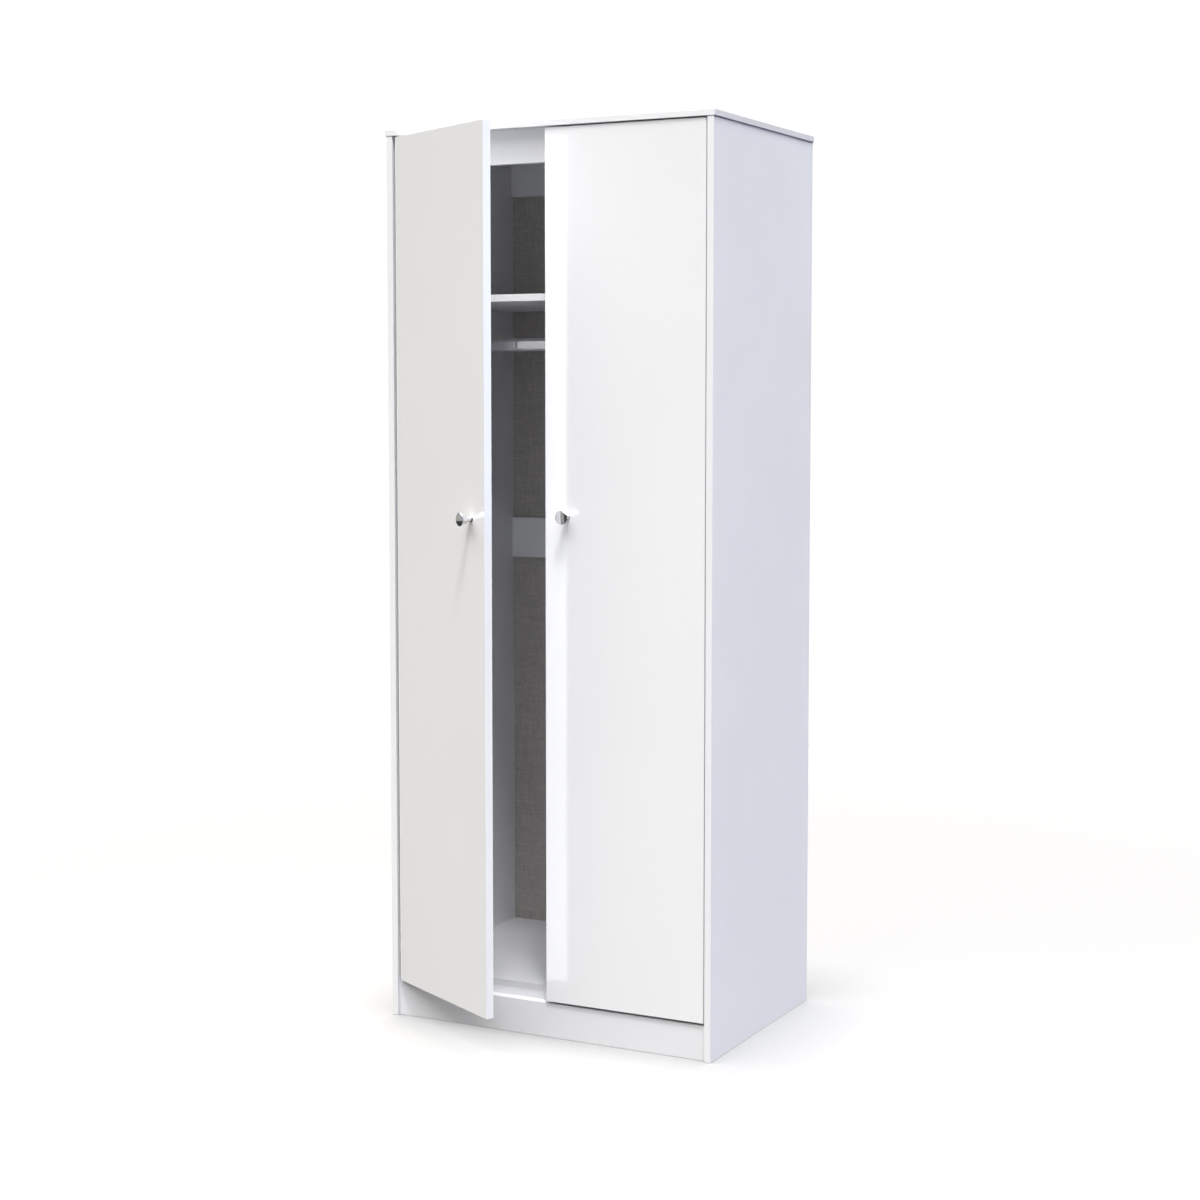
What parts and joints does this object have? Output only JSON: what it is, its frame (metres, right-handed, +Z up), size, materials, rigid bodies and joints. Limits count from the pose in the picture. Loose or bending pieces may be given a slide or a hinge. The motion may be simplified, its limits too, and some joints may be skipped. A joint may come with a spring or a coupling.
{
  "type": "two-door wardrobe",
  "caption": "Tall free-standing wardrobe with inset hinged doors, round metal knobs, an upper shelf and a hanging rail.",
  "frame": {"origin": "on the floor, mid width, under the middle of the plinth board's thickness", "axes": "+X to the right of someone facing the doors, +Y towards the back, +Z up"},
  "size_m": [0.7908, 0.7235, 1.97],
  "materials": {
    "white_board": "white melamine-coated particle board, satin",
    "white_gloss": "white high-gloss foil on board",
    "back_linen": "thin fibreboard with a dark grey-brown linen-look print",
    "chrome": "polished chrome",
    "nickel_steel": "nickel-plated steel",
    "zinc_screw": "bright zinc-plated steel",
    "zinc_cast": "die-cast zinc",
    "beech_dowel": "beech"
  },
  "bodies": {
    "carcass": {"left_side_panel": "white_board", "right_side_panel": "white_board", "top_panel": "white_board", "floor_panel": "white_board", "shelf": "white_board", "plinth_board": "white_board", "base_front_rail": "white_board", "base_back_rail": "white_board", "front_top_rail": "white_board", "back_top_rail": "white_board", "back_middle_rail": "white_board", "upper_back_panel": "back_linen", "lower_back_panel": "back_linen", "hanging_rail": "chrome", "left_rail_socket": "chrome", "right_rail_socket": "chrome", "rail_socket_screws": "zinc_screw", "cam_housings": "zinc_cast", "cam_bolts": "zinc_screw", "dowels": "beech_dowel", "plinth_screws": "zinc_screw", "back_panel_nails": "zinc_screw", "left_hinge_arms": "nickel_steel", "left_hinge_arm_screws": "zinc_screw", "left_hinge_pins": "zinc_screw", "left_mounting_plates": "nickel_steel", "left_mounting_plate_screws": "zinc_screw", "right_hinge_arms": "nickel_steel", "right_hinge_arm_screws": "zinc_screw", "right_hinge_pins": "zinc_screw", "right_mounting_plates": "nickel_steel", "right_mounting_plate_screws": "zinc_screw"},
    "left_door": {"left_door": "white_gloss", "left_knob": "chrome", "left_knob_screw": "zinc_screw", "left_hinge_cups": "nickel_steel", "left_hinge_cup_screws": "zinc_screw"},
    "left_hinge_links": {"left_hinge_links": "nickel_steel"},
    "right_door": {"right_door": "white_gloss", "right_knob": "chrome", "right_knob_screw": "zinc_screw", "right_hinge_cups": "nickel_steel", "right_hinge_cup_screws": "zinc_screw"},
    "right_hinge_links": {"right_hinge_links": "nickel_steel"}
  },
  "joints": [
    {"name": "left_door_swing", "type": "hinge", "parent": "carcass", "child": "left_door", "pos_m": [-0.37465, -0.0226, 1.017], "axis": [0, 0, -1], "range_deg": [-28.76, 66.24]},
    {"name": "right_door_swing", "type": "hinge", "parent": "carcass", "child": "right_door", "pos_m": [0.37465, -0.0226, 1.017], "axis": [0, 0, 1], "range_deg": [0, 95]},
    {"name": "left_hinge_link_turn", "type": "hinge", "parent": "carcass", "child": "left_hinge_links", "pos_m": [-0.32074, 0.00814, 1.017], "axis": [0, 0, 1], "range_deg": [-12.46, 28.31]},
    {"name": "right_hinge_link_turn", "type": "hinge", "parent": "carcass", "child": "right_hinge_links", "pos_m": [0.32074, 0.00814, 1.017], "axis": [0, 0, -1], "range_deg": [-0.3, 40.48]}
  ],
  "couplings": [
    {"joint": "left_hinge_link_turn", "follows": "left_door_swing", "ratio": 0.4229},
    {"joint": "right_hinge_link_turn", "follows": "right_door_swing", "ratio": 0.4229}
  ]
}
